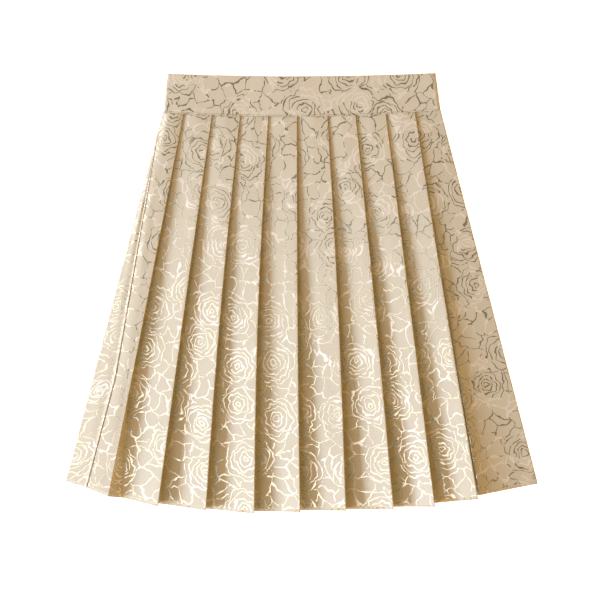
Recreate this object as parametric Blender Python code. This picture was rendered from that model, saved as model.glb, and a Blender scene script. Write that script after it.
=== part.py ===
"""Knife-pleated jacquard skirt, laid flat on its back with the waist towards +Y.

Metres, +Z up. X runs across the skirt, and the origin is at the middle of the
underside. The front panel is one wall of cloth, from the side seam that shows
at the left, through nine pleats that all fold the same way, over the fold at
the right and a little way under. The back panel lies flat beneath it, and
curls over the fold at the left to meet the same seam.
"""
import math
from collections import namedtuple

import bmesh
import bpy
from mathutils import Vector

MM = 0.001

# Walls and gaps
CLOTH = 1.0 * MM
BAND_CLOTH = 2.4 * MM
GAP = 0.3 * MM

# Outline, laid flat
WAIST_HALF = 170.9 * MM
HEM_HALF = 290.6 * MM
BAND_TOP_HALF = 165.7 * MM
BAND_TOP_SHIFT = -1.1 * MM
SEAM_Y = 217.2 * MM
SEAM_DIP = 6.5 * MM
SEAM_TILT = 1.4 * MM
TOP_Y = 266.6 * MM
TOP_DIP = 3.7 * MM
TOP_TILT = 0.4 * MM

# Pleats: fold radii and layer heights are those of the wall's middle line
FOLD_RADIUS = 0.7 * MM
LAYER_STEP = 2 * FOLD_RADIUS
BACK_Z = CLOTH / 2
LOW_Z = CLOTH + GAP + CLOTH / 2
TOP_CREST_Z = LOW_Z + 2 * LAYER_STEP
TUCK_TOP = 19.0 * MM
TUCK_POWER = 2.2
CREST_POWER = 1.15
START_TOP = 2.0 * MM
START_HEM = 9.0 * MM
TUCK_CLEAR = 3.0 * MM
CREST_RUN = 5.0 * MM
BEND_SHARE = 0.45
CURVE_TOP = 1.2
CURVE_HEM = 1.5

# Side folds
SIDE_RADIUS_TOP = 1.6 * MM
SIDE_RADIUS_HEM = 1.7 * MM
STRIP = 27.3 * MM
STRIP_START = 0.03
STRIP_FULL = 0.70
SHELF_DROP = 3.5 * MM
SHELF_CLEAR = 2.0 * MM
SHELF_HASTE = 1.25
FOOT_SHARE = 0.45
SLOPE_POWER = 3.0

# Waistband
BAND_END_ROUND = 4.5 * MM
BAND_EDGE = 0.4 * MM
BAND_TOP_ROUND = 1.2 * MM

# Samples: rows from the waist seam (0) to the hem (1), and points round each bend
ROWS = (0.0, 0.05, 0.12, 0.21, 0.32, 0.44, 0.56, 0.68, 0.79, 0.90, 1.0)
CREST_POINTS = 5
TUCK_POINTS = 4
BEND_POINTS = 3
FACE_POINTS = 6
SHELF_POINTS = 4
SLOPE_POINTS = 9
SIDE_ARC_POINTS = 13
LEFT_POINTS = 8
RIGHT_POINTS = 14
BACK_LEFT_POINTS = 12
BACK_RIGHT_POINTS = 9
BACK_MIDDLE_POINTS = 12
BAND_POINTS = 17
BAND_END_POINTS = 5

# One row a pleat, in millimetres: where its crest leaves the waist seam, where it
# meets the hem, the step from its corner up to the next face, how far its middle
# bows to the right, how far it is tucked under at the hem, and its height there
Pleat = namedtuple("Pleat", "waist_x hem_x hem_y step bow hem_tuck hem_z")
PLEATS = (
    Pleat(-144.8, -236.7, -249.7, 0.6, 0.5, -15.0, 13.0),
    Pleat(-109.9, -175.9, -261.6, 2.6, -0.8, 8.0, 13.5),
    Pleat(-75.4, -117.3, -266.5, 1.2, -3.0, 8.5, 13.2),
    Pleat(-40.6, -57.8, -270.6, 2.2, -4.0, 8.0, 13.8),
    Pleat(-5.4, -1.6, -268.6, 1.4, -1.2, 8.0, 13.5),
    Pleat(32.0, 54.5, -267.0, 1.2, 2.0, 8.5, 13.3),
    Pleat(66.5, 112.9, -265.4, 2.4, 1.0, 8.0, 13.6),
    Pleat(103.5, 163.5, -262.2, 4.0, 0.3, 7.5, 13.5),
    Pleat(139.3, 216.4, -252.9, 4.4, -1.0, 8.0, 13.0),
)
HEM_LEFT_Y = -231.0 * MM
HEM_SEAM_Y = -239.2 * MM
HEM_RIGHT_Y = -234.4 * MM

CHAMPAGNE = (0.63, 0.50, 0.34, 1.0)
CHAMPAGNE_BACK = (0.60, 0.47, 0.31, 1.0)
BAND_BEIGE = (0.60, 0.49, 0.35, 1.0)

# A point of a section: across, up, and how far its hem drops below the base line
Spot = namedtuple("Spot", "x z drop")


def lerp(first, last, share):
    return first + (last - first) * share


def smooth(share):
    share = min(max(share, 0.0), 1.0)
    return share * share * (3 - 2 * share)


def clear_scene():
    for item in list(bpy.data.objects):
        bpy.data.objects.remove(item, do_unlink=True)


def cloth_material(name, colour, roughness):
    material = bpy.data.materials.new(name)
    material.use_nodes = True
    shader = material.node_tree.nodes["Principled BSDF"]
    shader.inputs["Base Color"].default_value = colour
    shader.inputs["Roughness"].default_value = roughness
    shader.inputs["Metallic"].default_value = 0.0
    return material


def seam_y(x):
    """Waist seam: a shallow dip, and a touch higher at the right."""
    across = x / WAIST_HALF
    return SEAM_Y + SEAM_DIP * across ** 2 + SEAM_TILT * across


def top_y(x):
    """Upper edge of the waistband."""
    across = x / BAND_TOP_HALF
    return TOP_Y + TOP_DIP * across ** 2 + TOP_TILT * across


def hem_base():
    """Corners of the line that each face's hem starts from, left to right."""
    corners = [(-HEM_HALF, HEM_LEFT_Y), (-HEM_HALF + STRIP, HEM_SEAM_Y)]
    for pleat in PLEATS:
        corners.append((pleat.hem_x * MM, (pleat.hem_y + pleat.step) * MM))
    corners.append((HEM_HALF, HEM_RIGHT_Y))
    return corners


def hem_y(x):
    corners = hem_base()
    x = min(max(x, corners[0][0]), corners[-1][0])
    for (x0, y0), (x1, y1) in zip(corners, corners[1:]):
        if x <= x1:
            return lerp(y0, y1, (x - x0) / (x1 - x0))
    return corners[-1][1]


def half_width(t):
    return lerp(WAIST_HALF, HEM_HALF, t)


def place(t, spot, shift):
    """A section's spot at row t, moved across and up, in the skirt's own space."""
    across = spot.x / half_width(t)
    y = lerp(seam_y(across * WAIST_HALF) - GAP, hem_y(across * HEM_HALF), t)
    return Vector((spot.x + shift.x, y - spot.drop * t, spot.z + shift.y))


def crest_x(index, t):
    pleat = PLEATS[index]
    return (lerp(pleat.waist_x, pleat.hem_x, t) + pleat.bow * math.sin(math.pi * t)) * MM


def crest_z(index, t):
    return lerp(TOP_CREST_Z, PLEATS[index].hem_z * MM - CLOTH / 2, t ** CREST_POWER)


def tuck(index, t):
    return lerp(TUCK_TOP, PLEATS[index].hem_tuck * MM, t ** TUCK_POWER)


def crest_centre(index, t):
    return Vector((crest_x(index, t) - CLOTH / 2 - FOLD_RADIUS, crest_z(index, t) - FOLD_RADIUS))


def tuck_centre(index, t):
    return Vector((crest_x(index, t) - tuck(index, t) + CLOTH / 2 + FOLD_RADIUS, LOW_Z + FOLD_RADIUS))


def side_normal(heading):
    """The unit normal on the left of a path with this heading."""
    return Vector((-math.sin(heading), math.cos(heading)))


def return_heading(index, t):
    """Heading of the straight stretch from a crest down to its inner fold."""
    span = tuck_centre(index, t) - crest_centre(index, t)
    straight = math.sqrt(max(span.length_squared - LAYER_STEP ** 2, 0.0))
    return math.atan2(span.y, span.x) - math.atan2(LAYER_STEP, straight)


def turn(centre, radius, first, last, count):
    """Points round a bend; radius is negative where the path turns to its left."""
    points = []
    for step in range(count):
        heading = lerp(first, last, step / (count - 1))
        points.append(centre + radius * side_normal(heading))
    return points


def bend(before, corner, after, reach):
    """A corner eased by a parabola over the same reach on both sides."""
    back, ahead = before - corner, after - corner
    start = corner + back.normalized() * min(reach, back.length * BEND_SHARE)
    end = corner + ahead.normalized() * min(reach, ahead.length * BEND_SHARE)
    points = []
    for step in range(BEND_POINTS):
        u = step / (BEND_POINTS - 1)
        points.append(start * (1 - u) ** 2 + corner * 2 * u * (1 - u) + end * u ** 2)
    return points


def face_end(index, t, start, power):
    """The upper knee of a face, which lies over its own tucked layers, and its crest's heading."""
    centre = crest_centre(index, t)
    knee_x = min(tuck_centre(index, t).x, centre.x - CREST_RUN)
    share = (knee_x - start.x) / (centre.x - start.x)
    rise = lerp(start.y, crest_z(index, t), share ** power)
    knee = Vector((knee_x, max(TOP_CREST_Z, rise)))
    reach = centre - knee
    heading = math.atan2(reach.y, reach.x) + math.asin(FOLD_RADIUS / reach.length)
    return knee, heading


def crest_and_tuck(index, t, heading):
    """Round the crest, back under it, and round the inner fold to the next face."""
    back = return_heading(index, t)
    crest = turn(crest_centre(index, t), FOLD_RADIUS, heading, back, CREST_POINTS)
    inner = turn(tuck_centre(index, t), -FOLD_RADIUS, back, 0.0, TUCK_POINTS)
    return crest + inner


def face_start(index, t):
    """Where the face to the right of a crest leaves the back panel and climbs."""
    clear = lerp(START_TOP, START_HEM, t)
    return Vector((max(crest_x(index, t) + clear, tuck_centre(index, t).x + TUCK_CLEAR), LOW_Z))


def hollow_curve(first, last, power, count):
    """Points of a hollow curve that leaves the first point level and grows steeper."""
    points = []
    for step in range(count):
        share = step / (count - 1)
        points.append(Vector((lerp(first.x, last.x, share), lerp(first.y, last.y, share ** power))))
    return points


def climb(index, t):
    """The face that ends at a crest, from where it leaves the fold before it."""
    start = face_start(index - 1, t)
    before = Vector((tuck_centre(index - 1, t).x, LOW_Z))
    power = lerp(CURVE_TOP, CURVE_HEM, t)
    knee, heading = face_end(index, t, start, power)
    crest_point = crest_centre(index, t) + FOLD_RADIUS * side_normal(heading)
    face = hollow_curve(start, knee, power, FACE_POINTS)[:-1]
    return [before.lerp(start, 0.5)] + face + bend(face[-1], knee, crest_point, CREST_RUN), heading


def side_radius(t):
    return lerp(SIDE_RADIUS_TOP, SIDE_RADIUS_HEM, t)


def strip_width(t):
    """How far each side seam lies from the fold beside it, measured along the cloth."""
    share = (t - STRIP_START) / (STRIP_FULL - STRIP_START)
    return STRIP * min(max(share, 0.0), 1.0)


def side_arc(t, side):
    """Half a turn round a side fold, from its top down to the flat underside."""
    radius = side_radius(t)
    centre = Vector((side * (half_width(t) - CLOTH / 2 - radius), BACK_Z + radius))
    points = []
    for step in range(SIDE_ARC_POINTS):
        angle = math.pi * step / (SIDE_ARC_POINTS - 1)
        points.append(centre + radius * Vector((side * math.sin(angle), math.cos(angle))))
    return points


def lengths(path):
    total = [0.0]
    for first, last in zip(path, path[1:]):
        total.append(total[-1] + (last - first).length)
    return total


def point_at(path, wanted):
    """The point at a length along a path."""
    marks = lengths(path)
    leg = 0
    while leg < len(path) - 2 and marks[leg + 1] < wanted:
        leg += 1
    share = (wanted - marks[leg]) / (marks[leg + 1] - marks[leg])
    return path[leg].lerp(path[leg + 1], min(max(share, 0.0), 1.0))


def resample(path, start, end, count, power=1.0):
    """Points along a path between two lengths, closer together near the start."""
    return [point_at(path, lerp(start, end, (step / (count - 1)) ** power)) for step in range(count)]


def left_path(t):
    """From the underside round the left fold and up to the first pleat's knee."""
    arc = side_arc(t, -1)[::-1]
    knee, heading = face_end(0, t, arc[-1], 1.0)
    crest_point = crest_centre(0, t) + FOLD_RADIUS * side_normal(heading)
    return arc + bend(arc[-1], knee, crest_point, CREST_RUN), heading


def seam_mark(path, t):
    """Length along a side path at which the seam lies."""
    return lengths(path[:SIDE_ARC_POINTS])[-1] / 2 + strip_width(t)


def right_path(t):
    """From the top of the right fold round it and along the underside, past the seam."""
    arc = side_arc(t, 1)
    return arc + [arc[-1] - Vector((STRIP + CREST_RUN, 0.0))]


def last_face(t):
    """The wide plain face right of the last pleat, falling from its crest to the right fold."""
    last = len(PLEATS) - 1
    inner, crest = tuck_centre(last, t), crest_centre(last, t)
    high = lerp(LOW_Z, crest.y - SHELF_DROP, smooth(SHELF_HASTE * t))
    shelf = Vector((crest.x + SHELF_CLEAR, high))
    foot = Vector((lerp(inner.x, shelf.x, FOOT_SHARE), LOW_Z))
    fold_top = side_arc(t, 1)[0]
    fall = []
    for step in range(1, SLOPE_POINTS):
        share = step / SLOPE_POINTS
        fall.append(Vector((lerp(shelf.x, fold_top.x, share),
                            lerp(fold_top.y, shelf.y, (1 - share) ** SLOPE_POWER))))
    return hollow_curve(foot, shelf, CURVE_TOP, SHELF_POINTS) + fall


def dropped(points, first=0.0, last=0.0):
    """Spots whose hem drop goes evenly from one value to another."""
    marks = lengths(points)
    return [Spot(p.x, p.y, lerp(first, last, mark / marks[-1])) for p, mark in zip(points, marks)]


def seam_guide(path, mark):
    """A spot past a seam, which only gives the wall's direction there."""
    point = point_at(path, mark)
    return Spot(point.x, point.y, 0.0)


def front_section(t):
    """Spots from the left seam to the right one, with a guide before and after."""
    path, heading = left_path(t)
    seam = seam_mark(path, t)
    points = resample(path, seam + GAP / 2, lengths(path)[-1], LEFT_POINTS, 1.4)
    spots = [seam_guide(path, seam - GAP / 2)] + dropped(points, 0.0, PLEATS[0].step * MM)
    for index, pleat in enumerate(PLEATS):
        if index:
            points, heading = climb(index, t)
            spots += dropped(points, 0.0, pleat.step * MM)
        spots += dropped(crest_and_tuck(index, t, heading), pleat.step * MM, 0.0)
    spots += dropped(last_face(t))
    path = right_path(t)
    seam = seam_mark(path, t)
    spots += dropped(resample(path, 0.0, seam - GAP / 2, RIGHT_POINTS, 1.5))
    return spots + [seam_guide(path, seam + GAP / 2)]


def back_section(t):
    """Spots from the right seam, flat along the underside, to the left seam."""
    path = right_path(t)
    seam = seam_mark(path, t)
    spots = [seam_guide(path, seam - GAP / 2)]
    spots += dropped(resample(path, seam + GAP / 2, lengths(path)[-1], BACK_RIGHT_POINTS, 2.0))
    first = path[-1]
    path, _ = left_path(t)
    shares = [step / BACK_MIDDLE_POINTS for step in range(1, BACK_MIDDLE_POINTS)]
    spots += dropped([first.lerp(path[0], share) for share in shares])
    seam = seam_mark(path, t)
    spots += dropped(resample(path, 0.0, seam - GAP / 2, BACK_LEFT_POINTS, 1.5))
    return spots + [seam_guide(path, seam + GAP / 2)]


def wall_rows(section, rows):
    """Both faces of a wall: each row's spots moved half a wall to either side."""
    outer, inner = [], []
    for t in rows:
        spots = section(t)
        left, right = [], []
        for before, spot, after in zip(spots, spots[1:], spots[2:]):
            along = Vector((after.x - before.x, after.z - before.z)).normalized()
            across = side_normal(math.atan2(along.y, along.x)) * CLOTH / 2
            left.append(place(t, spot, across))
            right.append(place(t, spot, -across))
        outer.append(left)
        inner.append(right)
    return outer, inner


def shell(name, outer, inner, material):
    """A closed wall from two matching grids of points, joined round their edges."""
    mesh = bpy.data.meshes.new(name)
    grid = bmesh.new()
    top = [[grid.verts.new(point) for point in row] for row in outer]
    low = [[grid.verts.new(point) for point in row] for row in inner]
    last_row, last = len(top) - 1, len(top[0]) - 1
    for row in range(last_row):
        for col in range(last):
            for side in (top, low):
                grid.faces.new((side[row][col], side[row][col + 1],
                                side[row + 1][col + 1], side[row + 1][col]))
        for col in (0, last):
            grid.faces.new((top[row][col], top[row + 1][col], low[row + 1][col], low[row][col]))
    for row in (0, last_row):
        for col in range(last):
            grid.faces.new((top[row][col], top[row][col + 1], low[row][col + 1], low[row][col]))
    bmesh.ops.recalc_face_normals(grid, faces=grid.faces)
    grid.to_mesh(mesh)
    grid.free()
    mesh.shade_smooth()
    mesh.set_sharp_from_angle(angle=math.radians(40))
    mesh.materials.append(material)
    item = bpy.data.objects.new(name, mesh)
    bpy.context.scene.collection.objects.link(item)
    return item


def panel(name, section, material):
    outer, inner = wall_rows(section, ROWS)
    return shell(name, outer, inner, material)


def band_stations():
    """Shares across the band with the wall's roundness there, closer at the ends."""
    stations = []
    for step in range(BAND_END_POINTS):
        angle = math.pi / 2 * step / (BAND_END_POINTS - 1)
        stations.append((1 - math.cos(angle), math.sin(angle)))
    return stations


def band_row(half, shift):
    """Across the band: each point's x and how full its wall is, from edge to edge."""
    ends = [(-half + BAND_END_ROUND * inward, full) for inward, full in band_stations()]
    middle = []
    for step in range(1, BAND_POINTS - 1):
        x = lerp(-half + BAND_END_ROUND, half - BAND_END_ROUND, step / (BAND_POINTS - 1))
        middle.append((x, 1.0))
    row = ends + middle + [(-x, full) for x, full in reversed(ends)]
    return [(x + shift, full) for x, full in row]


def band(name, flip, material):
    """Half of the flattened waistband: flip is 1 for the upper half and -1 for the lower."""
    length = TOP_Y - SEAM_Y
    levels = ((0.0, 1.0), (0.5, 1.0), (1 - BAND_TOP_ROUND / length, 1.0), (1.0, 0.55))
    middle = BAND_CLOTH + GAP / 2
    outer, inner = [], []
    for share, level_full in levels:
        half = lerp(WAIST_HALF, BAND_TOP_HALF, share)
        top, low = [], []
        for x, full in band_row(half, BAND_TOP_SHIFT * share):
            y = lerp(seam_y(x), top_y(x), share)
            wall = BAND_EDGE + (BAND_CLOTH - BAND_EDGE) * full * level_full
            top.append(Vector((x, y, middle + flip * (GAP / 2 + wall))))
            low.append(Vector((x, y, middle + flip * GAP / 2)))
        outer.append(top)
        inner.append(low)
    return shell(name, outer, inner, material)


def main():
    clear_scene()
    panel("front_panel", front_section, cloth_material("champagne_front", CHAMPAGNE, 0.55))
    panel("back_panel", back_section, cloth_material("champagne_back", CHAMPAGNE_BACK, 0.55))
    band("waistband_front", 1, cloth_material("band_front_cloth", BAND_BEIGE, 0.5))
    band("waistband_back", -1, cloth_material("band_back_cloth", BAND_BEIGE, 0.5))


main()
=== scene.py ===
import math
from collections import namedtuple

import bmesh
import bpy
from bpy.props import FloatProperty, FloatVectorProperty, PointerProperty
from mathutils import Matrix, Vector, noise


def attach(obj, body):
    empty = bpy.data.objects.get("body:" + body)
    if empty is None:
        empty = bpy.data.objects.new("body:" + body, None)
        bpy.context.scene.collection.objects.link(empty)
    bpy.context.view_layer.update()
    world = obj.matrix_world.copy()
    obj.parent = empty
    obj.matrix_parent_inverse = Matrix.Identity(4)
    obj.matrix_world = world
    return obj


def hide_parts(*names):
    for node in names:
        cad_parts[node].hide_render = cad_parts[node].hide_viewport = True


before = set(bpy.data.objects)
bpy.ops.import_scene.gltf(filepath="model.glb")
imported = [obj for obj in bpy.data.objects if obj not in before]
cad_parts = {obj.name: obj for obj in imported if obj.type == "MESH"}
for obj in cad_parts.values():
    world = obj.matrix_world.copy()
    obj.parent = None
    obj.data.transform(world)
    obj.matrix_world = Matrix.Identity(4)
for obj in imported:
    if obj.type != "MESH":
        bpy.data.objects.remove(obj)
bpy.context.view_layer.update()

bl_info = {
    "name": "Pleated Skirt",
    "version": (1, 0, 0),
    "blender": (4, 5, 0),
    "location": "View3D > Sidebar > Skirt",
    "description": "Cloth, sewing and stage of a knife-pleated jacquard skirt laid flat",
    "category": "Add Mesh",
}

# Metres, +Z up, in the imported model's own space. The sections below are those of
# the solids, with more points on them, soft unevenness and worked seams.
MM = 0.001

# Walls and gaps
CLOTH = 0.6 * MM
BAND_CLOTH = 2.4 * MM
GAP = 0.3 * MM
SEAM_GAP = 0.05 * MM
SEAM_DITCH = 0.5 * MM
DITCH_SHARE = 0.006

# Outline, laid flat
WAIST_HALF = 170.9 * MM
HEM_HALF = 290.6 * MM
BAND_TOP_HALF = 165.7 * MM
BAND_TOP_SHIFT = -1.1 * MM
SEAM_Y = 217.2 * MM
SEAM_DIP = 6.5 * MM
SEAM_TILT = 1.4 * MM
TOP_Y = 266.6 * MM
TOP_DIP = 3.7 * MM
TOP_TILT = 0.4 * MM

# Pleats: fold radii and layer heights are those of the wall's middle line
FOLD_RADIUS = 0.35 * MM
LAYER_STEP = 2 * FOLD_RADIUS
BACK_Z = CLOTH / 2
LOW_TOP_Z = 3.0 * MM
LOW_HEM_Z = CLOTH + GAP + CLOTH / 2
LOW_FALL = 0.5
CREST_POWER = 0.97
TUCK_TOP = 19.0 * MM
TUCK_POWER = 2.2
START_TOP = 1.5 * MM
START_HEM = 13.0 * MM
TUCK_CLEAR = 2.0 * MM
CREST_RUN = 5.0 * MM
KNEE_REACH = 4.0 * MM
KNEE_CLEAR = 1.05
CURVE = 1.2
BEND_SHARE = 0.45

# Side folds
SIDE_RADIUS_TOP = 1.0 * MM
SIDE_RADIUS_HEM = 1.1 * MM
STRIP = 27.3 * MM
STRIP_START = 0.03
STRIP_FULL = 0.70
SHELF_DROP = 3.5 * MM
SHELF_CLEAR = 2.0 * MM
SLOPE_POWER = 3.0
SHELF_HASTE = 1.25
FOOT_SHARE = 0.45
SEAM_OVER = 0.3 * MM
SEAM_TUCK = 0.3 * MM
SEAM_SETTLE = 8

# Waistband
BAND_END_ROUND = 4.5 * MM
BAND_EDGE = 0.4 * MM
BAND_TOP_ROUND = 1.2 * MM
BAND_FOOT_FULL = 0.76
BAND_TOP_FULL = 0.35
BAND_PULL = 9.0 * MM
BAND_RIPPLE = 0.35
BAND_MAP_SHIFT = (0.031, -0.2)

# Stitches above the waist seam
STITCH_ABOVE = 1.3 * MM
STITCH_INSET = 2.0 * MM
STITCH_HALF_WIDTH = 0.34 * MM
STITCH_HALF_HEIGHT = 0.30 * MM

# Soft unevenness: how often its lumps come across and along, a metre, and its seed
Lumps = namedtuple("Lumps", "across along seed")
BROAD_LUMPS = Lumps(16, 7, 3.1)
SMALL_LUMPS = Lumps(45, 17, 8.7)
PUCKER_LUMPS = Lumps(110, 30, 5.3)
PUCKER_FADE = 14 * MM
BAND_BROAD_LUMPS = Lumps(22, 16, 1.7)
BAND_SMALL_LUMPS = Lumps(80, 30, 4.9)

# Samples of the sections, and rows from the waist seam to the hem
ROWS = 118
ROW_POWER = 1.2
CREST_POINTS = 7
RETURN_POINTS = 2
TUCK_POINTS = 5
BEND_POINTS = 5
FACE_POINTS = 12
START_POINTS = 2
APPROACH_POINTS = 3
SHELF_POINTS = 5
SIDE_ARC_POINTS = 15
LEFT_POINTS = 28
RIGHT_POINTS = 24
BACK_LEFT_POINTS = 30
BACK_RIGHT_POINTS = 12
BACK_MIDDLE_POINTS = 30
BAND_POINTS = 120
BAND_END_POINTS = 8
BAND_ROWS = 24
BAND_TOP_ROWS = 6

# One row a pleat, in millimetres: where its crest leaves the waist seam, where it
# meets the hem, the step from its corner up to the next face, how far its middle
# bows to the right, how far it is tucked under at the hem, and its height there
Pleat = namedtuple("Pleat", "waist_x hem_x hem_y step bow hem_tuck hem_z")
PLEATS = (
    Pleat(-144.8, -236.7, -249.7, 0.6, 0.5, -15.0, 14.5),
    Pleat(-109.9, -175.9, -261.6, 2.6, -0.8, 8.0, 15.0),
    Pleat(-75.4, -117.3, -266.5, 1.2, -3.0, 8.5, 14.7),
    Pleat(-40.6, -57.8, -270.6, 2.2, -4.0, 8.0, 15.3),
    Pleat(-5.4, -1.6, -268.6, 1.4, -1.2, 8.0, 15.0),
    Pleat(32.0, 54.5, -267.0, 1.2, 2.0, 8.5, 14.8),
    Pleat(66.5, 112.9, -265.4, 2.4, 1.0, 8.0, 15.1),
    Pleat(103.5, 163.5, -262.2, 4.0, 0.3, 7.5, 15.0),
    Pleat(139.3, 216.4, -252.9, 4.4, -1.0, 8.0, 14.5),
)
MIDDLE_PLEAT = 4
HEM_LEFT_Y = -231.0 * MM
HEM_SEAM_Y = -239.2 * MM
HEM_RIGHT_Y = -234.4 * MM

# Flower weave: share of a rose's radius and number of petals of each ring
RINGS = ((0.14, 1), (0.33, 2), (0.54, 3), (0.77, 4), (1.0, 5))
RING_TURN = 1.3
PETAL_BULGE = 0.17
ROSE_EDGE = 1.12
MEAN_SINE = 0.64
ROSE_SCATTER = 0.62

# Noise that the weave is shaken by: the size of its lumps and how far it pushes
FINE_SHAKE = (1.8 * MM, 0.7 * MM)
ROSE_SHAKE = (8 * MM, 5.5 * MM)
BROAD_CELL_SHAKE = (26 * MM, 16 * MM)
SMALL_CELL_SHAKE = (8 * MM, 5 * MM)

# Lines of the weave: softness of their edges, and the lumps in which their width
# changes, they break off, they carry patches and sparks of painted glint, and the ground has its slubs
LINE_SOFT = 0.25 * MM
WIDTH_LUMP = 11 * MM
BREAK_LUMP = 7 * MM
GLINT_PATCH_LUMP = 26 * MM
GLINT_SPARK_LUMP = 1.8 * MM
SLUB_LUMP = 0.9 * MM
WEAVE_PITCH = 0.7 * MM
BUMP = 0.10 * MM

# View: the picture is 600 pixels square, and 738 mm of the floor fill it
VIEW_SPAN = 738.0 * MM
VIEW_CENTRE = (-2.0 * MM, -8.6 * MM)
VIEW_HEIGHT = 4.0
SENSOR = 36.0
FLOOR_HALF = 8.0
FLOOR_DROP = 0.3 * MM

# Lights: how far each leans from overhead and towards which side (degrees, where
# 0 is the skirt's right and 90 its waist), its distance, its width and height
# (metres), its power (watts) and its colour
Light = namedtuple("Light", "name lean side distance width height power colour")
LIGHTS = (
    Light("key_box", 71.5, 190.0, 8.0, 3.2, 2.2, 905.0, (0.84, 0.99, 1.21)),
    Light("sheen_box", 39.0, 185.0, 5.0, 4.6, 3.2, 68.0, (0.97, 1.0, 1.06)),
)

# A point of a section: across, up, how far its hem drops, and how freely it lies
Spot = namedtuple("Spot", "x z drop free")


class SKIRT_PG_sizes(bpy.types.PropertyGroup):
    """Sizes of the cloth's finer form and of its woven flowers."""

    ripple: FloatProperty(
        name="Ripple", description="Height of the cloth's soft unevenness",
        default=1.1 * MM, min=0.0, max=3.0 * MM, unit="LENGTH")
    pucker: FloatProperty(
        name="Pucker", description="Height of the small puckers under the waist seam",
        default=0.25 * MM, min=0.0, max=1.0 * MM, unit="LENGTH")
    seam_lip: FloatProperty(
        name="Seam lip", description="How far the side seam's left edge stands up",
        default=0.7 * MM, min=0.0, max=2.0 * MM, unit="LENGTH")
    rose_spacing: FloatProperty(
        name="Rose spacing", description="Distance between the woven roses",
        default=64.0 * MM, min=20.0 * MM, max=200.0 * MM, unit="LENGTH")
    rose_small: FloatProperty(
        name="Smallest rose", description="Radius of the smallest woven rose",
        default=20.0 * MM, min=5.0 * MM, max=60.0 * MM, unit="LENGTH")
    rose_large: FloatProperty(
        name="Largest rose", description="Radius of the largest woven rose",
        default=26.0 * MM, min=5.0 * MM, max=60.0 * MM, unit="LENGTH")
    petal_cell: FloatProperty(
        name="Petal cell", description="Width of the loose petals between the roses",
        default=17.0 * MM, min=5.0 * MM, max=60.0 * MM, unit="LENGTH")
    line_thin: FloatProperty(
        name="Thinnest line", description="Half the width of the thinnest woven line",
        default=0.60 * MM, min=0.1 * MM, max=2.0 * MM, unit="LENGTH")
    line_thick: FloatProperty(
        name="Thickest line", description="Half the width of the thickest woven line",
        default=0.85 * MM, min=0.1 * MM, max=3.0 * MM, unit="LENGTH")
    stitch_length: FloatProperty(
        name="Stitch length", description="Length of a stitch above the waist seam",
        default=1.9 * MM, min=0.5 * MM, max=6.0 * MM, unit="LENGTH")
    stitch_pitch: FloatProperty(
        name="Stitch pitch", description="Distance from one stitch to the next",
        default=2.5 * MM, min=0.6 * MM, max=8.0 * MM, unit="LENGTH")


class SKIRT_PG_colours(bpy.types.PropertyGroup):
    """Colours of the cloth, its shiny threads and their painted glint, the sewing and the floor."""

    ground: FloatVectorProperty(
        name="Cloth", description="Champagne ground of the weave",
        default=(0.480, 0.463, 0.370), size=3, subtype="COLOR", min=0.0, max=1.0)
    band_ground: FloatVectorProperty(
        name="Waistband", description="Ground of the waistband's cloth",
        default=(0.508, 0.500, 0.420), size=3, subtype="COLOR", min=0.0, max=1.0)
    # Painted reflection: the bright thread is near-white and less metallic, laid in random patches and
    # sparks along the lines as a painted glint; the dull thread is the shiny metal thread itself.
    glint_thread: FloatVectorProperty(
        name="Painted glint thread", description="Thread painted near-white as a glint",
        default=(0.88, 0.88, 0.84), size=3, subtype="COLOR", min=0.0, max=1.0)
    thread_dark: FloatVectorProperty(
        name="Dull thread", description="Shiny metal thread outside the painted glints",
        default=(0.75, 0.72, 0.58), size=3, subtype="COLOR", min=0.0, max=1.0)
    stitch: FloatVectorProperty(
        name="Stitches", description="Sewing thread",
        default=(0.33, 0.22, 0.11), size=3, subtype="COLOR", min=0.0, max=1.0)
    floor: FloatVectorProperty(
        name="Floor", description="Plain floor",
        default=(0.90, 0.90, 0.90), size=3, subtype="COLOR", min=0.0, max=1.0)


def lerp(first, last, share):
    return first + (last - first) * share


def smooth(share):
    share = min(max(share, 0.0), 1.0)
    return share * share * (3 - 2 * share)


def seam_y(x):
    """Waist seam: a shallow dip, and a touch higher at the right."""
    across = x / WAIST_HALF
    return SEAM_Y + SEAM_DIP * across ** 2 + SEAM_TILT * across


def top_y(x):
    """Upper edge of the waistband."""
    across = x / BAND_TOP_HALF
    return TOP_Y + TOP_DIP * across ** 2 + TOP_TILT * across


def hem_base():
    """Corners of the line that each face's hem starts from, left to right."""
    corners = [(-HEM_HALF, HEM_LEFT_Y), (-HEM_HALF + STRIP, HEM_SEAM_Y)]
    for pleat in PLEATS:
        corners.append((pleat.hem_x * MM, (pleat.hem_y + pleat.step) * MM))
    corners.append((HEM_HALF, HEM_RIGHT_Y))
    return corners


HEM_CORNERS = hem_base()


def hem_y(x):
    x = min(max(x, HEM_CORNERS[0][0]), HEM_CORNERS[-1][0])
    for (x0, y0), (x1, y1) in zip(HEM_CORNERS, HEM_CORNERS[1:]):
        if x <= x1:
            return lerp(y0, y1, (x - x0) / (x1 - x0))
    return HEM_CORNERS[-1][1]


def half_width(t):
    return lerp(WAIST_HALF, HEM_HALF, t)


def place(t, spot, shift):
    """A section's spot at row t, moved across and up, in the skirt's own space."""
    across = spot.x / half_width(t)
    y = lerp(seam_y(across * WAIST_HALF) - SEAM_GAP, hem_y(across * HEM_HALF), t)
    return Vector((spot.x + shift.x, y - spot.drop * t, spot.z + shift.y))


def crest_x(index, t):
    pleat = PLEATS[index]
    return (lerp(pleat.waist_x, pleat.hem_x, t) + pleat.bow * math.sin(math.pi * t)) * MM


def ditch(t):
    """How far the cloth dips where it meets the waist seam."""
    return SEAM_DITCH * math.exp(-t / DITCH_SHARE)


def low_z(t):
    """Height of the tucked cloth: the waist seam's turnings hold it up at the top."""
    return lerp(LOW_TOP_Z, LOW_HEM_Z, smooth(t / LOW_FALL)) - ditch(t)


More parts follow.
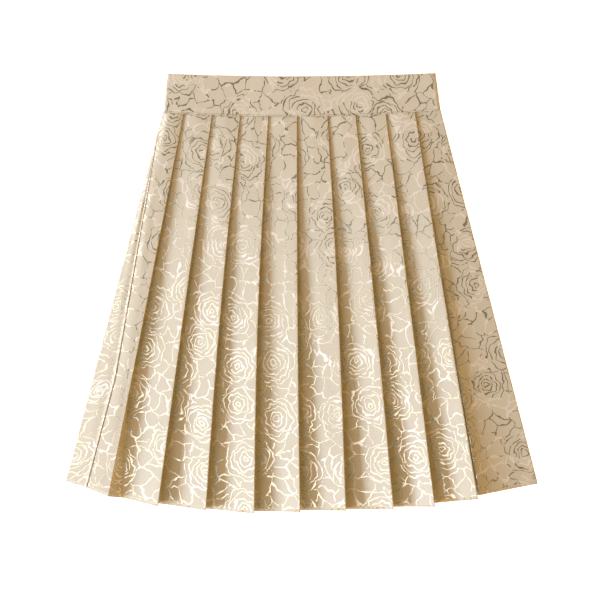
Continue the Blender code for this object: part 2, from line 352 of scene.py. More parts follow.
def crest_z(index, t):
    start = LOW_TOP_Z + 2 * LAYER_STEP
    return lerp(start, PLEATS[index].hem_z * MM - CLOTH / 2, t ** CREST_POWER) - ditch(t)


def tuck(index, t):
    return lerp(TUCK_TOP, PLEATS[index].hem_tuck * MM, t ** TUCK_POWER)


def crest_centre(index, t):
    return Vector((crest_x(index, t) - CLOTH / 2 - FOLD_RADIUS, crest_z(index, t) - FOLD_RADIUS))


def tuck_centre(index, t):
    inward = tuck(index, t) - CLOTH / 2 - FOLD_RADIUS
    return Vector((crest_x(index, t) - inward, low_z(t) + FOLD_RADIUS))


def side_normal(heading):
    """The unit normal on the left of a path with this heading."""
    return Vector((-math.sin(heading), math.cos(heading)))


def return_heading(index, t):
    """Heading of the straight stretch from a crest down to its inner fold."""
    span = tuck_centre(index, t) - crest_centre(index, t)
    straight = math.sqrt(max(span.length_squared - LAYER_STEP ** 2, 0.0))
    return math.atan2(span.y, span.x) - math.atan2(LAYER_STEP, straight)


def turn(centre, radius, first, last, count):
    """Points round a bend; radius is negative where the path turns to its left."""
    points = []
    for step in range(count):
        heading = lerp(first, last, step / (count - 1))
        points.append(centre + radius * side_normal(heading))
    return points


def bend(before, corner, after, reach):
    """A corner eased by a parabola over the same reach on both sides."""
    back, ahead = before - corner, after - corner
    start = corner + back.normalized() * min(reach, back.length * BEND_SHARE)
    end = corner + ahead.normalized() * min(reach, ahead.length * BEND_SHARE)
    points = []
    for step in range(BEND_POINTS):
        u = step / (BEND_POINTS - 1)
        points.append(start * (1 - u) ** 2 + corner * 2 * u * (1 - u) + end * u ** 2)
    return points


def between(first, last, count):
    """Evenly spaced points between two, without the two."""
    return [first.lerp(last, (step + 1) / (count + 1)) for step in range(count)]


def left_knee(t, start):
    """The upper knee of the leftmost face, over its own tucked layers."""
    centre = crest_centre(0, t)
    knee_x = min(tuck_centre(0, t).x, centre.x - CREST_RUN)
    rise = (crest_z(0, t) - start.y) / (centre.x - start.x)
    return Vector((knee_x, max(low_z(t) + 2 * LAYER_STEP, start.y + rise * (knee_x - start.x))))


def crest_heading(index, t, knee):
    """Heading with which a face runs from its upper knee onto its crest."""
    reach = crest_centre(index, t) - knee
    return math.atan2(reach.y, reach.x) + math.asin(FOLD_RADIUS / reach.length)


def crest_and_tuck(index, t, heading):
    """Round the crest, back under it, and round the inner fold to the next face."""
    back = return_heading(index, t)
    crest = turn(crest_centre(index, t), FOLD_RADIUS, heading, back, CREST_POINTS)
    inner = turn(tuck_centre(index, t), -FOLD_RADIUS, back, 0.0, TUCK_POINTS)
    return crest + between(crest[-1], inner[0], RETURN_POINTS) + inner


def face_start(index, t):
    """Where the face to the right of a crest leaves the tucked layers and climbs."""
    clear = lerp(START_TOP, START_HEM, t)
    return Vector((max(crest_x(index, t) + clear, tuck_centre(index, t).x + TUCK_CLEAR), low_z(t)))


def hollow_curve(first, last, power, count):
    """Points of a hollow curve that leaves the first point level and grows steeper."""
    points = []
    for step in range(count):
        share = step / (count - 1)
        points.append(Vector((lerp(first.x, last.x, share), lerp(first.y, last.y, share ** power))))
    return points


def climb(index, t):
    """The face that ends at a crest, from where it leaves the fold before it."""
    start = face_start(index - 1, t)
    before = Vector((tuck_centre(index - 1, t).x, low_z(t)))
    crest = crest_centre(index, t)
    knee_x = min(tuck_centre(index, t).x, crest.x - CREST_RUN)
    share = (knee_x - start.x) / (crest.x - start.x)
    rise = lerp(start.y, crest_z(index, t), share ** CURVE)
    knee = Vector((knee_x, max(low_z(t) + 2 * LAYER_STEP, rise)))
    heading = crest_heading(index, t, knee)
    crest_point = crest + FOLD_RADIUS * side_normal(heading)
    points = hollow_curve(start, knee, CURVE, FACE_POINTS)
    clear = KNEE_REACH * KNEE_CLEAR
    kept = [point for point in points if (knee - point).length > clear] or points[:1]
    path = kept + bend(kept[-1], knee, crest_point, KNEE_REACH)
    even = resample(path, 0.0, lengths(path)[-1], FACE_POINTS + BEND_POINTS)
    low = between(before, start, START_POINTS)
    return low + even + between(even[-1], crest_point, APPROACH_POINTS) + [crest_point], heading


def side_radius(t):
    return lerp(SIDE_RADIUS_TOP, SIDE_RADIUS_HEM, t)


def strip_width(t):
    """How far each side seam lies from the fold beside it, measured along the cloth."""
    share = (t - STRIP_START) / (STRIP_FULL - STRIP_START)
    return STRIP * min(max(share, 0.0), 1.0)


def side_arc(t, side):
    """Half a turn round a side fold, from its top down to the flat underside."""
    radius = side_radius(t)
    centre = Vector((side * (half_width(t) - CLOTH / 2 - radius), BACK_Z + radius))
    points = []
    for step in range(SIDE_ARC_POINTS):
        angle = math.pi * step / (SIDE_ARC_POINTS - 1)
        points.append(centre + radius * Vector((side * math.sin(angle), math.cos(angle))))
    return points


def lengths(path):
    total = [0.0]
    for first, last in zip(path, path[1:]):
        total.append(total[-1] + (last - first).length)
    return total


def point_at(path, wanted):
    """The point at a length along a path."""
    marks = lengths(path)
    leg = 0
    while leg < len(path) - 2 and marks[leg + 1] < wanted:
        leg += 1
    share = (wanted - marks[leg]) / (marks[leg + 1] - marks[leg])
    return path[leg].lerp(path[leg + 1], min(max(share, 0.0), 1.0))


def resample(path, start, end, count, power=1.0):
    """Points along a path between two lengths, closer together near the start."""
    return [point_at(path, lerp(start, end, (step / (count - 1)) ** power)) for step in range(count)]


def left_path(t):
    """From the underside round the left fold and up to the first pleat's knee."""
    arc = side_arc(t, -1)[::-1]
    knee = left_knee(t, arc[-1])
    heading = crest_heading(0, t, knee)
    crest_point = crest_centre(0, t) + FOLD_RADIUS * side_normal(heading)
    return arc + bend(arc[-1], knee, crest_point, CREST_RUN), heading


def seam_mark(path, t):
    """Length along a side path at which the seam lies."""
    return lengths(path[:SIDE_ARC_POINTS])[-1] / 2 + strip_width(t)


def right_path(t):
    """From the top of the right fold round it and along the underside, past the seam."""
    arc = side_arc(t, 1)
    return arc + [arc[-1] - Vector((STRIP + CREST_RUN, 0.0))]


def last_face(t):
    """The wide plain face right of the last pleat, falling from its crest to the right fold."""
    last = len(PLEATS) - 1
    inner = tuck_centre(last, t)
    before = Vector((inner.x, low_z(t)))
    crest = crest_centre(last, t)
    shelf_z = lerp(low_z(t), crest.y - SHELF_DROP, smooth(SHELF_HASTE * t))
    shelf = Vector((crest.x + SHELF_CLEAR, shelf_z))
    foot = Vector((lerp(inner.x, shelf.x, FOOT_SHARE), low_z(t)))
    fold_top = side_arc(t, 1)[0]
    rise = hollow_curve(foot, shelf, CURVE, SHELF_POINTS)
    fall = []
    for step in range(1, FACE_POINTS):
        share = step / (FACE_POINTS - 1)
        fall.append(Vector((lerp(shelf.x, fold_top.x, share),
                            lerp(fold_top.y, shelf.y, (1 - share) ** SLOPE_POWER))))
    path = [before] + rise + fall
    return resample(path, MM, lengths(path)[-1] - MM, 2 * FACE_POINTS)


def spots(points, first=0.0, last=0.0, free=0.0):
    """Spots whose hem drop goes evenly from one value to another, freest in their middle."""
    marks = lengths(points)
    made = []
    for point, mark in zip(points, marks):
        share = mark / marks[-1]
        made.append(Spot(point.x, point.y, lerp(first, last, share), free * math.sin(math.pi * share)))
    return made


def front_section(t):
    """Spots from the left seam to the right one."""
    path, heading = left_path(t)
    seam = seam_mark(path, t)
    points = resample(path, seam + GAP / 2, lengths(path)[-1], LEFT_POINTS, 1.3)
    made = spots(points, 0.0, PLEATS[0].step * MM, 1.0)
    for index, pleat in enumerate(PLEATS):
        if index:
            points, heading = climb(index, t)
            made += spots(points, 0.0, pleat.step * MM, 1.0)
        made += spots(crest_and_tuck(index, t, heading), pleat.step * MM, 0.0)
    made += spots(last_face(t), free=1.0)
    path = right_path(t)
    seam = seam_mark(path, t)
    return made + spots(resample(path, 0.0, seam - GAP / 2, RIGHT_POINTS, 1.5))


def back_section(t):
    """Spots from the right seam, flat along the underside, to the left seam."""
    path = right_path(t)
    seam = seam_mark(path, t)
    made = spots(resample(path, seam + GAP / 2, lengths(path)[-1], BACK_RIGHT_POINTS, 2.0))
    first = path[-1]
    path, _ = left_path(t)
    made += spots(between(first, path[0], BACK_MIDDLE_POINTS - 1))
    seam = seam_mark(path, t)
    points = resample(path, 0.0, seam + SEAM_OVER, BACK_LEFT_POINTS)
    arc = lengths(path[:SIDE_ARC_POINTS])[-1]
    strip = []
    for point, mark in zip(points, lengths(points)):
        free = math.sin(math.pi * smooth((mark - arc) / max(seam - arc, MM)))
        strip.append(Spot(point.x, point.y, 0.0, free))
    return made + strip


def across(row, col):
    """Direction at right angles to a section at one of its spots."""
    before, after = row[max(col - 1, 0)], row[min(col + 1, len(row) - 1)]
    along = Vector((after.x - before.x, after.z - before.z)).normalized()
    return side_normal(math.atan2(along.y, along.x))


def lumpy(x, y, lumps):
    """Noise between -1 and 1 at a place, with lumps of one kind."""
    return noise.noise(Vector((x * lumps.across, y * lumps.along, lumps.seed)))


def unevenness(point, sizes):
    """Height of the soft unevenness of lying cloth at a place."""
    broad = lumpy(point.x, point.y, BROAD_LUMPS)
    small = lumpy(point.x, point.y, SMALL_LUMPS)
    pucker = lumpy(point.x, point.y, PUCKER_LUMPS)
    near_seam = math.exp(-(seam_y(point.x) - point.y) / PUCKER_FADE)
    high = sizes.ripple * (0.5 + 0.75 * broad + 0.3 * small)
    return max(high, 0.0) + sizes.pucker * (0.5 + pucker) * near_seam


def section_points(section, sizes, lift):
    """Rows of points of a cloth wall's middle, from the waist seam to the hem."""
    made = []
    for step in range(ROWS):
        t = (step / (ROWS - 1)) ** ROW_POWER
        row = section(t)
        points = []
        for col, spot in enumerate(row):
            flat = place(t, spot, Vector((0.0, 0.0)))
            high = spot.free * smooth(t * 6) * unevenness(flat, sizes) + lift(t, row, col)
            points.append(place(t, spot, across(row, col) * high))
        made.append(points)
    return made


def woven_grid(name, points, origin):
    """A cloth surface through rows of points, with a map in metres along the weave."""
    rows, cols = len(points), len(points[0])
    work = bmesh.new()
    bmesh.ops.create_grid(work, x_segments=cols - 1, y_segments=rows - 1, size=0.5)
    weave = work.loops.layers.uv.new("cloth")
    run = [lengths(row) for row in points]
    down = lengths([row[origin] for row in points])[-1]
    for face in work.faces:
        for loop in face.loops:
            col = round((loop.vert.co.x + 0.5) * (cols - 1))
            row = round((0.5 - loop.vert.co.y) * (rows - 1))
            share = (row / (rows - 1)) ** ROW_POWER
            loop[weave].uv = (run[row][col] - run[row][origin], -down * share)
    for vert in work.verts:
        col = round((vert.co.x + 0.5) * (cols - 1))
        row = round((0.5 - vert.co.y) * (rows - 1))
        vert.co = points[row][col]
    for face in work.faces:
        face.smooth = True
    return finished(name, work)


def finished(name, work):
    """Turns a bmesh into an object of the scene."""
    mesh = bpy.data.meshes.new(name)
    work.to_mesh(mesh)
    work.free()
    item = bpy.data.objects.new(name, mesh)
    bpy.context.scene.collection.objects.link(item)
    return item


def give_wall(item, thickness):
    wall = item.modifiers.new("wall", "SOLIDIFY")
    wall.thickness = thickness
    wall.offset = 0.0
    wall.use_even_offset = True
    wall.use_rim = True


class Wires:
    """Adds nodes to one tree and joins them."""

    def __init__(self, tree):
        self.tree = tree

    def add(self, kind, **settings):
        node = self.tree.nodes.new(kind)
        for name, value in settings.items():
            setattr(node, name, value)
        return node

    def feed(self, socket, value):
        if isinstance(value, bpy.types.NodeSocket):
            self.tree.links.new(value, socket)
        else:
            socket.default_value = value

    def maths(self, operation, *values):
        node = self.add("ShaderNodeMath", operation=operation)
        for socket, value in zip(node.inputs, values):
            self.feed(socket, value)
        return node.outputs[0]

    def vector(self, operation, *values):
        node = self.add("ShaderNodeVectorMath", operation=operation)
        for socket, value in zip(node.inputs, values):
            self.feed(socket, value)
        return node.outputs["Value"] if operation == "LENGTH" else node.outputs["Vector"]

    def scaled(self, vector, by):
        node = self.add("ShaderNodeVectorMath", operation="SCALE")
        self.feed(node.inputs[0], vector)
        self.feed(node.inputs["Scale"], by)
        return node.outputs["Vector"]

    def noise(self, vector, size, detail=0.0, colour=False):
        """Noise whose lumps are about one size across, in metres."""
        node = self.add("ShaderNodeTexNoise", noise_dimensions="2D")
        self.feed(node.inputs["Vector"], vector)
        node.inputs["Scale"].default_value = 1.0 / size
        node.inputs["Detail"].default_value = detail
        return node.outputs["Color" if colour else "Fac"]

    def shaken(self, vector, size, strength):
        """The same place, pushed about by noise."""
        push = self.vector("SUBTRACT", self.noise(vector, size, colour=True), (0.5, 0.5, 0.5))
        return self.vector("ADD", vector, self.scaled(push, strength))

    def ranged(self, value, low, high, first, last, kind="SMOOTHSTEP"):
        node = self.add("ShaderNodeMapRange", interpolation_type=kind)
        for name, given in zip(("Value", "From Min", "From Max", "To Min", "To Max"),
                               (value, low, high, first, last)):
            self.feed(node.inputs[name], given)
        return node.outputs["Result"]

    def mixed(self, share, first, last):
        node = self.add("ShaderNodeMix", data_type="RGBA")
        self.feed(node.inputs["Factor"], share)
        self.feed(node.inputs[6], first)
        self.feed(node.inputs[7], last)
        return node.outputs[2]


def new_group(name, inputs, outputs):
    """A node group with float inputs unless their name is Cloth, and its wires."""
    tree = bpy.data.node_groups.new(name, "ShaderNodeTree")
    for label in inputs:
        kind = "NodeSocketVector" if label == "Cloth" else "NodeSocketFloat"
        tree.interface.new_socket(name=label, in_out="INPUT", socket_type=kind)
    for label in outputs:
        tree.interface.new_socket(name=label, in_out="OUTPUT", socket_type="NodeSocketFloat")
    wires = Wires(tree)
    return tree, wires, wires.add("NodeGroupInput").outputs, wires.add("NodeGroupOutput").inputs


def petal_ring_group():
    """How far a place is from one ring of petals, whose arcs bulge out and meet in cusps."""
    tree, wires, given, wanted = new_group(
        "petal_ring", ("Radius", "Angle", "Mean", "Petals", "Phase"), ("Distance",))
    turned = wires.maths("ADD", given["Angle"], given["Phase"])
    half = wires.maths("MULTIPLY", wires.maths("MULTIPLY", turned, given["Petals"]), 0.5)
    arc = wires.maths("ABSOLUTE", wires.maths("SINE", half))
    bulge = wires.maths("MULTIPLY_ADD", arc, PETAL_BULGE, 1 - PETAL_BULGE * MEAN_SINE)
    ring = wires.maths("MULTIPLY", given["Mean"], bulge)
    away = wires.maths("ABSOLUTE", wires.maths("SUBTRACT", given["Radius"], ring))
    wires.feed(wanted["Distance"], away)
    return tree


def rose_distance(wires, place_on, sizes, ring_group):
    """Distance from the nearest ring of the nearest rose, and how far inside that rose."""
    cells = wires.add("ShaderNodeTexVoronoi", voronoi_dimensions="2D", feature="F1")
    wires.feed(cells.inputs["Vector"], place_on)
    cells.inputs["Scale"].default_value = 1.0 / sizes.rose_spacing
    cells.inputs["Randomness"].default_value = ROSE_SCATTER
    chance = wires.add("ShaderNodeSeparateColor")
    wires.feed(chance.inputs[0], cells.outputs["Color"])
    offset = wires.vector("SUBTRACT", place_on, cells.outputs["Position"])
    apart = wires.add("ShaderNodeSeparateXYZ")
    wires.feed(apart.inputs[0], offset)
    radius = wires.vector("LENGTH", offset)
    angle = wires.maths("ARCTAN2", apart.outputs["Y"], apart.outputs["X"])
    turn_by = wires.maths("MULTIPLY", chance.outputs[1], 2 * math.pi)
    whole = wires.ranged(chance.outputs[0], 0.0, 1.0, sizes.rose_small, sizes.rose_large, "LINEAR")
    nearest = None
    for number, (share, petals) in enumerate(RINGS):
        ring = wires.add("ShaderNodeGroup", node_tree=ring_group)
        wires.feed(ring.inputs["Radius"], radius)
        wires.feed(ring.inputs["Angle"], angle)
        wires.feed(ring.inputs["Mean"], wires.maths("MULTIPLY", whole, share))
        wires.feed(ring.inputs["Petals"], float(petals))
        wires.feed(ring.inputs["Phase"], wires.maths("ADD", turn_by, number * RING_TURN))
        away = ring.outputs["Distance"]
        nearest = away if nearest is None else wires.maths("MINIMUM", nearest, away)
    inside = wires.maths("LESS_THAN", radius, wires.maths("MULTIPLY", whole, ROSE_EDGE))
    return nearest, inside


def jacquard_group(sizes):
    """The woven flowers: how much of a place is shiny line, the tone of its petal, and the patches where
    the lines get a painted glint.
    """
    ring_group = petal_ring_group()
    tree, wires, given, wanted = new_group("rose_jacquard", ("Cloth",), ("Line", "Tone", "Painted glint"))
    flat = given["Cloth"]
    fine = wires.shaken(flat, *FINE_SHAKE)
    rings, inside = rose_distance(wires, wires.shaken(fine, *ROSE_SHAKE), sizes, ring_group)
    jagged = wires.shaken(wires.shaken(fine, *BROAD_CELL_SHAKE), *SMALL_CELL_SHAKE)
    cells = wires.add("ShaderNodeTexVoronoi", voronoi_dimensions="2D", feature="DISTANCE_TO_EDGE")
    wires.feed(cells.inputs["Vector"], jagged)
    cells.inputs["Scale"].default_value = 1.0 / sizes.petal_cell
    edge = wires.maths("MULTIPLY", cells.outputs["Distance"], sizes.petal_cell)
    edge = wires.maths("ADD", edge, inside)
    away = wires.maths("MINIMUM", rings, edge)
    width = wires.ranged(wires.noise(flat, WIDTH_LUMP), 0.3, 0.7, sizes.line_thin, sizes.line_thick)
    line = wires.ranged(wires.maths("SUBTRACT", away, width), -LINE_SOFT, LINE_SOFT, 1.0, 0.0)
    whole = wires.ranged(wires.noise(flat, BREAK_LUMP), 0.16, 0.24, 0.0, 1.0)
    wires.feed(wanted["Line"], wires.maths("MULTIPLY", line, whole))
    tones = wires.add("ShaderNodeTexVoronoi", voronoi_dimensions="2D", feature="F1")
    wires.feed(tones.inputs["Vector"], jagged)
    tones.inputs["Scale"].default_value = 1.0 / sizes.petal_cell
    grey = wires.add("ShaderNodeSeparateColor")
    wires.feed(grey.inputs[0], tones.outputs["Color"])
    wires.feed(wanted["Tone"], grey.outputs[2])
    # Painted reflection: random patches where the lines are painted as glinting thread.
    glint_patch = wires.ranged(wires.noise(flat, GLINT_PATCH_LUMP, 1.0), 0.52, 0.62, 0.0, 1.0)
    wires.feed(wanted["Painted glint"], glint_patch)
    return tree


def weave_height(wires, flat):
    """Over-and-under of a fine plain weave."""
    apart = wires.add("ShaderNodeSeparateXYZ")
    wires.feed(apart.inputs[0], flat)
    waves = [wires.maths("SINE", wires.maths("MULTIPLY", apart.outputs[axis], 2 * math.pi / WEAVE_PITCH))
             for axis in ("X", "Y")]
    return wires.maths("MULTIPLY", *waves)


def cloth_finish(name, ground, colours, group):
    """Champagne jacquard: a matt woven ground with shiny metal-like lines, which carry a painted glint:
    near-white, less metallic thread in random patches and sparks.
    """
    material = bpy.data.materials.new(name)
    material.use_nodes = True
    tree = material.node_tree
    wires = Wires(tree)
    shader = tree.nodes["Principled BSDF"]
    flat = wires.add("ShaderNodeUVMap", uv_map="cloth").outputs["UV"]
    flowers = wires.add("ShaderNodeGroup", node_tree=group)
    wires.feed(flowers.inputs["Cloth"], flat)
    line = flowers.outputs["Line"]
    slub_place = wires.add("ShaderNodeMapping")
    wires.feed(slub_place.inputs["Vector"], flat)
    slub_place.inputs["Scale"].default_value = (0.35, 1.0, 1.0)
    slub = wires.noise(slub_place.outputs["Vector"], SLUB_LUMP, 2.0)
    shade = wires.ranged(slub, 0.25, 0.75, 0.93, 1.06, "LINEAR")
    tone = wires.ranged(flowers.outputs["Tone"], 0.0, 1.0, 0.965, 1.02, "LINEAR")
    cloth = wires.scaled((*ground,), wires.maths("MULTIPLY", shade, tone))
    # Painted highlight: patches and small sparks of the lines are painted near-white and made less
    # metallic, standing in for the threads' reflection.
    glint_spark = wires.noise(flat, GLINT_SPARK_LUMP, 2.0)
    glint_share = wires.ranged(wires.maths("MULTIPLY_ADD", glint_spark, 0.6, flowers.outputs["Painted glint"]),
                          0.60, 0.85, 0.0, 1.0)
    thread = wires.mixed(glint_share, (*colours.thread_dark, 1.0), (*colours.glint_thread, 1.0))
    wires.feed(shader.inputs["Base Color"], wires.mixed(line, cloth, thread))
    gleam = wires.ranged(glint_share, 0.0, 1.0, 0.97, 0.25, "LINEAR")
    wires.feed(shader.inputs["Metallic"], wires.maths("MULTIPLY", line, gleam))
    wires.feed(shader.inputs["Roughness"], wires.ranged(line, 0.0, 1.0, 0.75, 0.24, "LINEAR"))
    shader.inputs["Sheen Weight"].default_value = 0.5
    shader.inputs["Sheen Roughness"].default_value = 0.6
    shader.inputs["Specular IOR Level"].default_value = 1.0
    shader.inputs["IOR"].default_value = 1.7
    high = wires.maths("ADD", line, wires.maths("MULTIPLY", weave_height(wires, flat), 0.25))
    bump = wires.add("ShaderNodeBump")
    bump.inputs["Strength"].default_value = 0.4
    bump.inputs["Distance"].default_value = BUMP
    wires.feed(bump.inputs["Height"], high)
    wires.feed(shader.inputs["Normal"], bump.outputs["Normal"])
    return material


def thread_finish(name, colour):
    """Twisted sewing thread."""
    material = bpy.data.materials.new(name)
    material.use_nodes = True
    wires = Wires(material.node_tree)
    shader = material.node_tree.nodes["Principled BSDF"]
    where = wires.add("ShaderNodeTexCoord").outputs["Object"]
    fleck = wires.add("ShaderNodeTexNoise")
    wires.feed(fleck.inputs["Vector"], where)
    fleck.inputs["Scale"].default_value = 1.0 / (1.5 * MM)
    darker = tuple(part * 0.7 for part in colour)
    wires.feed(shader.inputs["Base Color"],
               wires.mixed(fleck.outputs["Fac"], (*darker, 1.0), (*colour, 1.0)))
    shader.inputs["Roughness"].default_value = 0.5
    return material


def floor_finish(name, colour):
    """Plain pale floor, lit a little from below as a light table is."""
    material = bpy.data.materials.new(name)
    material.use_nodes = True
    wires = Wires(material.node_tree)
    shader = material.node_tree.nodes["Principled BSDF"]
    where = wires.add("ShaderNodeTexCoord").outputs["Object"]
    cloud = wires.add("ShaderNodeTexNoise")
    wires.feed(cloud.inputs["Vector"], where)
    cloud.inputs["Scale"].default_value = 1.5
    dimmer = tuple(part * 0.99 for part in colour)
    wires.feed(shader.inputs["Base Color"],
               wires.mixed(cloud.outputs["Fac"], (*dimmer, 1.0), (*colour, 1.0)))
    shader.inputs["Roughness"].default_value = 0.9
    shader.inputs["Emission Color"].default_value = (1.0, 1.0, 1.0, 1.0)
    shader.inputs["Emission Strength"].default_value = 0.97
    return material


FLOWERS = {}


def flowers_of(sizes):
    """The flower weave's node group, made once."""
    if "group" not in FLOWERS:
        FLOWERS["group"] = jacquard_group(sizes)
    return FLOWERS["group"]


class SKIRT_OT_front(bpy.types.Operator):
    """Make the pleated front panel, from the left side seam round to the right one"""

    bl_idname = "skirt.front"
    bl_label = "Pleated front"

    def execute(self, context):
        sizes, colours = context.scene.skirt_sizes, context.scene.skirt_colours

        def lift(t, row, col):
            return -SEAM_TUCK * (1 - smooth(col / 3)) * smooth(t * SEAM_SETTLE)

        points = section_points(front_section, sizes, lift)
        centre = LEFT_POINTS + MIDDLE_PLEAT * (CREST_POINTS + RETURN_POINTS + TUCK_POINTS)
        face = START_POINTS + FACE_POINTS + BEND_POINTS + APPROACH_POINTS + 1
        centre += MIDDLE_PLEAT * face
        item = woven_grid("front_cloth", points, centre)
        give_wall(item, CLOTH)
        item.data.materials.append(
            cloth_finish("jacquard_front", colours.ground, colours, flowers_of(sizes)))
        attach(item, "root")
        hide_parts("front_panel")
        return {"FINISHED"}


class SKIRT_OT_back(bpy.types.Operator):
    """Make the back panel, which lies on the floor and comes round the left fold to the seam"""

    bl_idname = "skirt.back"
    bl_label = "Back panel"

    def execute(self, context):
        sizes, colours = context.scene.skirt_sizes, context.scene.skirt_colours

        def lift(t, row, col):
            from_edge = len(row) - 1 - col
            return sizes.seam_lip * (1 - smooth(from_edge / 4)) * smooth(t * SEAM_SETTLE)

        points = section_points(back_section, sizes, lift)
        item = woven_grid("back_cloth", points, 0)
        item.data.flip_normals()
        give_wall(item, CLOTH)
        item.data.materials.append(
            cloth_finish("jacquard_back", colours.ground, colours, flowers_of(sizes)))
        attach(item, "root")
        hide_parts("back_panel")
        return {"FINISHED"}


def band_columns(half, shift):
    """Across the band: each column's x and how full its wall is."""
    ends = []
    for step in range(BAND_END_POINTS):
        angle = math.pi / 2 * step / (BAND_END_POINTS - 1)
        ends.append((-half + BAND_END_ROUND * (1 - math.cos(angle)), math.sin(angle)))
    middle = []
    for step in range(1, BAND_POINTS - 1):
        x = lerp(-half + BAND_END_ROUND, half - BAND_END_ROUND, step / (BAND_POINTS - 1))
        middle.append((x, 1.0))
    row = ends + middle + [(-x, full) for x, full in reversed(ends)]
    return [(x + shift, full) for x, full in row]


def band_levels():
    """Up the band: each row's share of its height and how full its wall is."""
    length = TOP_Y - SEAM_Y
    levels = []
    for step in range(BAND_ROWS):
        share = lerp(0.0, 1 - BAND_TOP_ROUND / length, step / BAND_ROWS)
        levels.append((share, lerp(BAND_FOOT_FULL, 1.0, smooth(share * length / BAND_PULL))))
    for step in range(BAND_TOP_ROWS):
        angle = math.pi / 2 * step / (BAND_TOP_ROWS - 1)
        share = 1 - BAND_TOP_ROUND / length * (1 - math.sin(angle))
        levels.append((share, lerp(BAND_TOP_FULL, 1.0, math.cos(angle))))
    return levels


def band_wall(x, y, full, level_full, ripple):
    """Thickness of half the folded band at a place, with soft unevenness."""
    wall = BAND_EDGE + (BAND_CLOTH - BAND_EDGE) * full * level_full
    wave = 0.5 + lumpy(x, y, BAND_BROAD_LUMPS) + 0.4 * lumpy(x, y, BAND_SMALL_LUMPS)
    return wall + BAND_RIPPLE * ripple * full * level_full * max(wave, 0.0)


def band_half(name, flip, sizes):
    """Half of the flattened waistband, upper (flip 1) or lower (flip -1)."""
    levels = band_levels()
    cols = BAND_POINTS - 2 + 2 * BAND_END_POINTS
    rows = len(levels)
    work = bmesh.new()
    bmesh.ops.create_grid(work, x_segments=cols - 1, y_segments=rows - 1, size=0.5)
    weave = work.loops.layers.uv.new("cloth")
    columns = [band_columns(lerp(WAIST_HALF, BAND_TOP_HALF, share), BAND_TOP_SHIFT * share)
               for share, _ in levels]
    middle = BAND_CLOTH + GAP / 2
    wall_of = work.verts.layers.float.new("wall")
    for vert in work.verts:
        col = round((vert.co.x + 0.5) * (cols - 1))
        row = round((vert.co.y + 0.5) * (rows - 1))
        share, level_full = levels[row]
        x, full = columns[row][col]
        y = lerp(seam_y(x), top_y(x), share)
        vert.co = (x, y, middle + flip * GAP / 2)
        vert[wall_of] = band_wall(x, y, full, level_full, sizes.ripple if flip > 0 else 0.0)
    for face in work.faces:
        for loop in face.loops:
            loop[weave].uv = (loop.vert.co.x + BAND_MAP_SHIFT[0], loop.vert.co.y + BAND_MAP_SHIFT[1])
    grown = bmesh.ops.extrude_face_region(work, geom=work.faces[:])
    for vert in (part for part in grown["geom"] if isinstance(part, bmesh.types.BMVert)):
        vert.co.z += flip * vert[wall_of]
    bmesh.ops.recalc_face_normals(work, faces=work.faces)
    for face in work.faces:
        face.smooth = True
    item = finished(name, work)
    item.data.set_sharp_from_angle(angle=math.radians(50))
    return item


class SKIRT_OT_waistband(bpy.types.Operator):
    """Make the folded waistband's upper and lower halves"""

    bl_idname = "skirt.waistband"
    bl_label = "Waistband"

    def execute(self, context):
        sizes, colours = context.scene.skirt_sizes, context.scene.skirt_colours
        for name, flip, node, slot, under in (
                ("band_front_cloth", 1, "waistband_front", "band_cloth", "band_back_cloth"),
                ("band_back_cloth", -1, "waistband_back", "band_back_cloth", "floor")):
            item = band_half(name, flip, sizes)
            item.data.materials.append(
                cloth_finish(name + "_finish", colours.band_ground, colours, flowers_of(sizes)))
            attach(item, "root")
            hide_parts(node)
        return {"FINISHED"}


class SKIRT_OT_stitches(bpy.types.Operator):
    """Make the row of small stitches just above the waist seam"""

    bl_idname = "skirt.stitches"
    bl_label = "Waist stitches"

    def execute(self, context):
        sizes, colours = context.scene.skirt_sizes, context.scene.skirt_colours
        work = bmesh.new()
        reach = WAIST_HALF - STITCH_INSET
        count = int(2 * reach / sizes.stitch_pitch)
        for step in range(count):
            x = lerp(-reach, reach, (step + 0.5) / count)
            y = seam_y(x) + STITCH_ABOVE
            slope = math.atan2(seam_y(x + MM) - seam_y(x - MM), 2 * MM)
            full = math.sin(math.acos(max(0.0, 1 - (WAIST_HALF - abs(x)) / BAND_END_ROUND)))
            pulled = lerp(BAND_FOOT_FULL, 1.0, smooth(STITCH_ABOVE / BAND_PULL))
            z = BAND_CLOTH + GAP + band_wall(x, y, full, pulled, sizes.ripple)
            size = Matrix.Diagonal((sizes.stitch_length / 2, STITCH_HALF_WIDTH, STITCH_HALF_HEIGHT, 1.0))
            bmesh.ops.create_icosphere(
                work, subdivisions=2, radius=1.0,
                matrix=Matrix.Translation((x, y, z)) @ Matrix.Rotation(slope, 4, "Z") @ size)
        for face in work.faces:
            face.smooth = True
        item = finished("waist_stitches", work)
        item.data.materials.append(thread_finish("sewing_thread", colours.stitch))
        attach(item, "root")
        return {"FINISHED"}


class SKIRT_OT_stage(bpy.types.Operator):
    """Make the floor, the lights, the surroundings and the camera"""

    bl_idname = "skirt.stage"
    bl_label = "Stage"

    def execute(self, context):
        colours = context.scene.skirt_colours
        work = bmesh.new()
        bmesh.ops.create_grid(work, x_segments=1, y_segments=1, size=FLOOR_HALF)
        bmesh.ops.translate(work, verts=work.verts, vec=(0.0, 0.0, -FLOOR_DROP))
        floor = finished("floor", work)
        floor.data.materials.append(floor_finish("pale_floor", colours.floor))
        for light in LIGHTS:
            add_light(context, light)
        surround(context)
        add_camera(context)
        return {"FINISHED"}


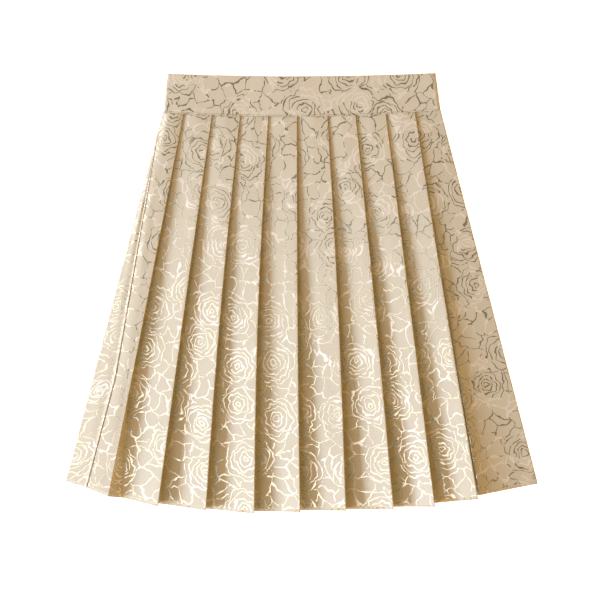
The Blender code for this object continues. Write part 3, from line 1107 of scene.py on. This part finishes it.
def add_light(context, light):
    data = bpy.data.lights.new(light.name, "AREA")
    data.shape = "RECTANGLE"
    data.size, data.size_y = light.width, light.height
    data.energy = light.power
    data.color = light.colour
    item = bpy.data.objects.new(light.name, data)
    lean, side = math.radians(light.lean), math.radians(light.side)
    away = Vector((math.sin(lean) * math.cos(side), math.sin(lean) * math.sin(side), math.cos(lean)))
    item.location = away * light.distance
    item.rotation_mode = "QUATERNION"
    item.rotation_quaternion = (-away).to_track_quat("-Z", "Y")
    item.visible_camera = False
    context.scene.collection.objects.link(item)


def surround(context):
    """Dim warm surroundings that look white where nothing stands before them."""
    world = bpy.data.worlds.new("surroundings")
    world.use_nodes = True
    context.scene.world = world
    wires = Wires(world.node_tree)
    background = world.node_tree.nodes["Background"]
    apart = wires.add("ShaderNodeSeparateXYZ")
    wires.feed(apart.inputs[0], wires.add("ShaderNodeTexCoord").outputs["Generated"])
    overhead = wires.ranged(apart.outputs["Z"], 0.75, 0.92, 0.0, 1.0)
    light = wires.mixed(overhead, (0.84, 0.45, 0.09, 1.0), (0.17, 0.15, 0.11, 1.0))
    seen = wires.add("ShaderNodeLightPath").outputs["Is Camera Ray"]
    wires.feed(background.inputs["Color"], wires.mixed(seen, light, (1.0, 1.0, 1.0, 1.0)))
    background.inputs["Strength"].default_value = 1.0


def add_camera(context):
    data = bpy.data.cameras.new("camera")
    data.sensor_width = SENSOR
    data.lens = SENSOR * VIEW_HEIGHT / VIEW_SPAN
    data.clip_start, data.clip_end = 0.1, 50.0
    item = bpy.data.objects.new("camera", data)
    item.location = (*VIEW_CENTRE, VIEW_HEIGHT)
    context.scene.collection.objects.link(item)
    context.scene.camera = item
    context.scene.view_settings.view_transform = "Standard"


class SKIRT_PT_panel(bpy.types.Panel):
    """Buttons and settings of the skirt"""

    bl_idname = "SKIRT_PT_panel"
    bl_label = "Pleated Skirt"
    bl_space_type = "VIEW_3D"
    bl_region_type = "UI"
    bl_category = "Skirt"

    def draw(self, context):
        layout = self.layout
        for operator in OPERATORS:
            layout.operator(operator.bl_idname)
        for settings in (context.scene.skirt_sizes, context.scene.skirt_colours):
            box = layout.box()
            for name in settings.__annotations__:
                box.prop(settings, name)


OPERATORS = (SKIRT_OT_front, SKIRT_OT_back, SKIRT_OT_waistband, SKIRT_OT_stitches, SKIRT_OT_stage)
CLASSES = (SKIRT_PG_sizes, SKIRT_PG_colours, *OPERATORS, SKIRT_PT_panel)


def register():
    for each in CLASSES:
        bpy.utils.register_class(each)
    bpy.types.Scene.skirt_sizes = PointerProperty(type=SKIRT_PG_sizes)
    bpy.types.Scene.skirt_colours = PointerProperty(type=SKIRT_PG_colours)


def unregister():
    del bpy.types.Scene.skirt_colours
    del bpy.types.Scene.skirt_sizes
    for each in reversed(CLASSES):
        bpy.utils.unregister_class(each)


def main():
    register()
    bpy.ops.skirt.back()
    bpy.ops.skirt.front()
    bpy.ops.skirt.waistband()
    bpy.ops.skirt.stitches()
    bpy.ops.skirt.stage()


if __name__ == "__main__":
    main()
